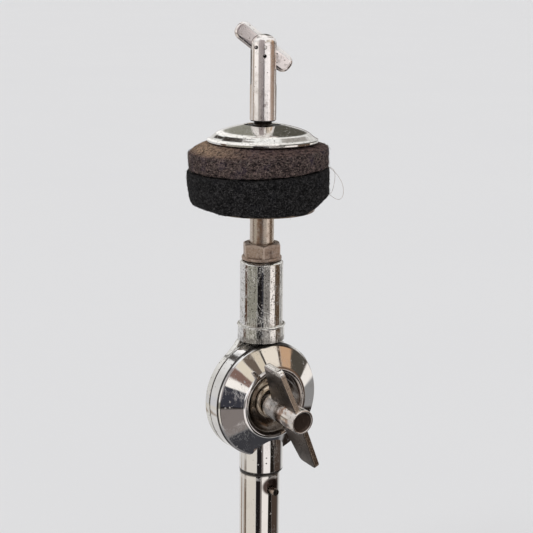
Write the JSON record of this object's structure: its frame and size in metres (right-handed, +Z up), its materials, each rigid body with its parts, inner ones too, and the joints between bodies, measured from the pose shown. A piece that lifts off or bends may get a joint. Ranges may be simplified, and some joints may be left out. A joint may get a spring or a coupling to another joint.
{
  "type": "cymbal stand tilter",
  "caption": "Top section of a cymbal stand: disc tilter with a wing screw on a chromed tube, rod, felt pads, domed washer and flip-top toggle post that keeps the cymbal on.",
  "frame": {"origin": "centre of the lower end of the tube, on the tube's axis, where a stand holds it", "axes": "+Z up the tube and the rod, Y along the tilt axis, the wing screw points to -Y, +X to the right when the wing screw is in front"},
  "size_m": [0.0467, 0.0492, 0.231],
  "materials": {
    "tube_chrome": "aged chrome plate",
    "blackened_pin": "blackened steel, worn",
    "base_chrome": "polished chrome plate, aged",
    "fibre": "pressed fibre",
    "arm_chrome": "chrome plate, pitted and scratched",
    "washer_steel": "plain plated steel",
    "wing_nickel": "tarnished nickel plate on a casting",
    "stud_steel": "plain steel",
    "rod_nickel": "tarnished nickel plate",
    "lock_washer_steel": "tarnished steel",
    "nut_steel": "tarnished steel",
    "seat_steel": "plated steel",
    "black_felt": "black pressed felt",
    "black_plastic": "black plastic",
    "grey_felt": "worn brown-grey felt",
    "dome_chrome": "polished chrome plate",
    "post_nickel": "bright nickel plate, pitted",
    "pin_steel": "bright steel",
    "lever_nickel": "bright nickel plate, pitted",
    "ball_steel": "bright steel ball"
  },
  "bodies": {
    "stand_tube": {"upper_tube": "tube_chrome", "tube_pin": "blackened_pin", "tilter_base": "base_chrome", "friction_disc": "fibre", "wing_washer": "washer_steel"},
    "tilter": {"tilter_arm": "arm_chrome", "tilter_rod": "rod_nickel", "lock_washer": "lock_washer_steel", "lock_nut": "nut_steel", "seat_washer": "seat_steel", "lower_felt": "black_felt", "cymbal_sleeve": "black_plastic", "toggle_post": "post_nickel", "toggle_pin": "pin_steel"},
    "wing": {"wing_screw": "wing_nickel", "wing_stud": "stud_steel"},
    "top_pads": {"upper_felt": "grey_felt", "top_washer": "dome_chrome"},
    "toggle": {"toggle_lever": "lever_nickel", "detent_ball": "ball_steel"}
  },
  "joints": [
    {"name": "tilter_tilt", "type": "hinge", "parent": "stand_tube", "child": "tilter", "pos_m": [0, 0, 0.106], "axis": [0, 1, 0], "range_deg": [-90, 90]},
    {"name": "wing_turn", "type": "hinge", "parent": "stand_tube", "child": "wing", "pos_m": [0, 0, 0.10558], "axis": [0, -0.9976, -0.0698], "continuous": true},
    {"name": "top_pads_lift", "type": "slide", "parent": "tilter", "child": "top_pads", "axis": [0, 0, 1], "range_m": [0, 0.012]},
    {"name": "toggle_flip", "type": "hinge", "parent": "tilter", "child": "toggle", "pos_m": [0, 0, 0.22305], "axis": [-0.4695, -0.8829, 0], "continuous": true}
  ]
}
